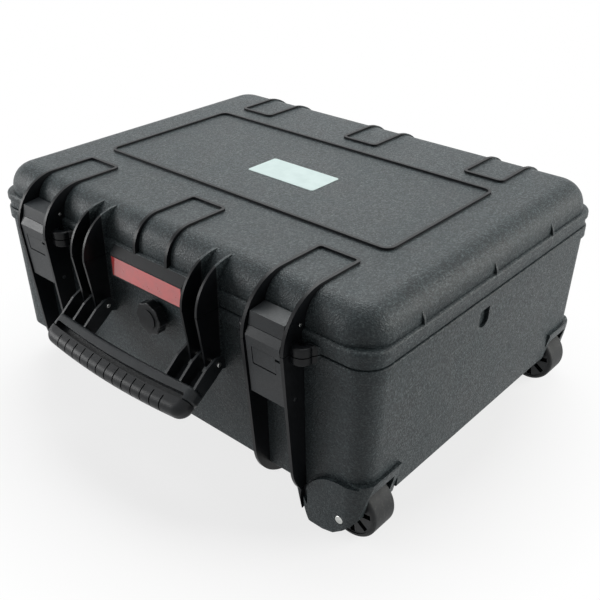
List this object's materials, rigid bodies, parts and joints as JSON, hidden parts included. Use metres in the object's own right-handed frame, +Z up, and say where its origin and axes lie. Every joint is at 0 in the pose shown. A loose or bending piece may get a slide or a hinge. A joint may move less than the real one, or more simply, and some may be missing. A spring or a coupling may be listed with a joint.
{
  "type": "laptop hard case",
  "caption": "Wheeled hard case for laptops: foam-lined base, domed hinged lid, button latches, swinging front handle, pressure valve and a telescopic pull handle.",
  "frame": {"origin": "on the floor, under the middle of the whole outline with the front handle at rest", "axes": "+X along the long side towards the wheels, -Y towards the latches and the front handle, +Z up"},
  "size_m": [0.594, 0.5496, 0.2787],
  "materials": {
    "base_plastic": "fine leather-grain moulded polypropylene, satin",
    "base_foam": "open-cell polyurethane foam, matt",
    "valve_plastic": "fine moulded texture",
    "valve_rubber": "matt moulded rubber",
    "latch_pin_steel": "bright stainless steel, satin",
    "handle_pin_steel": "bright stainless steel, satin",
    "hinge_pin_steel": "bright stainless steel, satin",
    "housing_front_plastic": "fine leather-grain moulded polypropylene, satin",
    "housing_back_plastic": "fine leather-grain moulded polypropylene, satin",
    "axle_steel": "bright stainless steel, satin",
    "foot_front_plastic": "fine leather-grain moulded polypropylene, satin",
    "foot_back_plastic": "fine leather-grain moulded polypropylene, satin",
    "foot_pad_rubber": "matt moulded rubber",
    "tray_plastic": "fine leather-grain moulded polypropylene, satin",
    "screw_steel": "bright stainless steel, satin",
    "outer_tube_aluminium": "satin anodised",
    "lid_plastic": "fine leather-grain moulded polypropylene, satin",
    "gasket_rubber": "matt moulded rubber",
    "lid_foam": "open-cell polyurethane foam, matt",
    "label_vinyl": "white printable vinyl, bare",
    "plate_metal": "red enamel, bare",
    "striker_steel": "bright stainless steel, satin",
    "latch_left_plastic": "fine leather-grain moulded polypropylene, satin",
    "trigger_left_plastic": "fine leather-grain moulded polypropylene, satin",
    "latch_right_plastic": "fine leather-grain moulded polypropylene, satin",
    "trigger_right_plastic": "fine leather-grain moulded polypropylene, satin",
    "handle_plastic": "fine leather-grain moulded polypropylene, satin",
    "grip_rubber": "matt moulded rubber",
    "knob_plastic": "fine moulded texture",
    "hub_front_plastic": "fine leather-grain moulded polypropylene, satin",
    "tyre_front_rubber": "matt moulded rubber",
    "hub_back_plastic": "fine leather-grain moulded polypropylene, satin",
    "tyre_back_rubber": "matt moulded rubber",
    "middle_tube_aluminium": "satin anodised",
    "inner_tube_aluminium": "satin anodised",
    "pull_grip_plastic": "fine moulded texture",
    "pull_button_plastic": "fine moulded texture"
  },
  "bodies": {
    "base": {"base_shell": "base_plastic", "base_foam": "base_foam", "valve_body": "valve_plastic", "valve_seal": "valve_rubber", "latch_pins": "latch_pin_steel", "handle_pins": "handle_pin_steel", "hinge_pins": "hinge_pin_steel", "wheel_housing_front": "housing_front_plastic", "wheel_housing_back": "housing_back_plastic", "wheel_axles": "axle_steel", "foot_front": "foot_front_plastic", "foot_back": "foot_back_plastic", "foot_pads": "foot_pad_rubber", "trolley_tray": "tray_plastic", "tray_screws": "screw_steel", "pull_outer_tubes": "outer_tube_aluminium"},
    "lid": {"lid_shell": "lid_plastic", "lid_gasket": "gasket_rubber", "lid_foam": "lid_foam", "lid_label": "label_vinyl", "name_plate": "plate_metal", "latch_strikers": "striker_steel"},
    "latch_left": {"latch_lever_left": "latch_left_plastic"},
    "trigger_left": {"latch_trigger_left": "trigger_left_plastic"},
    "latch_right": {"latch_lever_right": "latch_right_plastic"},
    "trigger_right": {"latch_trigger_right": "trigger_right_plastic"},
    "front_handle": {"handle_frame": "handle_plastic", "handle_grip": "grip_rubber"},
    "valve": {"valve_knob": "knob_plastic"},
    "wheel_front": {"wheel_hub_front": "hub_front_plastic", "wheel_tyre_front": "tyre_front_rubber"},
    "wheel_back": {"wheel_hub_back": "hub_back_plastic", "wheel_tyre_back": "tyre_back_rubber"},
    "pull_stage_1": {"pull_middle_tubes": "middle_tube_aluminium"},
    "pull_stage_2": {"pull_inner_tubes": "inner_tube_aluminium", "pull_grip": "pull_grip_plastic"},
    "pull_release": {"pull_button": "pull_button_plastic"}
  },
  "joints": [
    {"name": "lid_hinge", "type": "hinge", "parent": "base", "child": "lid", "pos_m": [0, 0.26676, 0.221], "axis": [-1, 0, 0], "range_deg": [0, 105]},
    {"name": "latch_left_pivot", "type": "hinge", "parent": "base", "child": "latch_left", "pos_m": [-0.1875, -0.20575, 0.1655], "axis": [1, 0, 0], "range_deg": [0, 120]},
    {"name": "trigger_left_pivot", "type": "hinge", "parent": "latch_left", "child": "trigger_left", "pos_m": [-0.1875, -0.21224, 0.229], "axis": [1, 0, 0], "range_deg": [0, 4], "stiffness_Nm_per_rad": 2},
    {"name": "latch_right_pivot", "type": "hinge", "parent": "base", "child": "latch_right", "pos_m": [0.1875, -0.20575, 0.1655], "axis": [1, 0, 0], "range_deg": [0, 120]},
    {"name": "trigger_right_pivot", "type": "hinge", "parent": "latch_right", "child": "trigger_right", "pos_m": [0.1875, -0.21224, 0.229], "axis": [1, 0, 0], "range_deg": [0, 4], "stiffness_Nm_per_rad": 2},
    {"name": "front_handle_pivot", "type": "hinge", "parent": "base", "child": "front_handle", "pos_m": [0, -0.21074, 0.163], "axis": [-1, 0, 0], "range_deg": [0, 77]},
    {"name": "valve_turn", "type": "hinge", "parent": "base", "child": "valve", "pos_m": [0, -0.19725, 0.171], "axis": [0, -1, 0], "range_deg": [0, 270]},
    {"name": "wheel_front_spin", "type": "hinge", "parent": "base", "child": "wheel_front", "pos_m": [0.2645, -0.15974, 0.0325], "axis": [0, 1, 0], "continuous": true},
    {"name": "wheel_back_spin", "type": "hinge", "parent": "base", "child": "wheel_back", "pos_m": [0.2645, 0.22026, 0.0325], "axis": [0, 1, 0], "continuous": true},
    {"name": "pull_slide_1", "type": "slide", "parent": "base", "child": "pull_stage_1", "axis": [-1, 0, 0], "range_m": [0, 0.2]},
    {"name": "pull_slide_2", "type": "slide", "parent": "pull_stage_1", "child": "pull_stage_2", "axis": [-1, 0, 0], "range_m": [0, 0.2]},
    {"name": "pull_release_press", "type": "slide", "parent": "pull_stage_2", "child": "pull_release", "axis": [1, 0, 0], "range_m": [0, 0.004], "stiffness_N_per_m": 500}
  ]
}
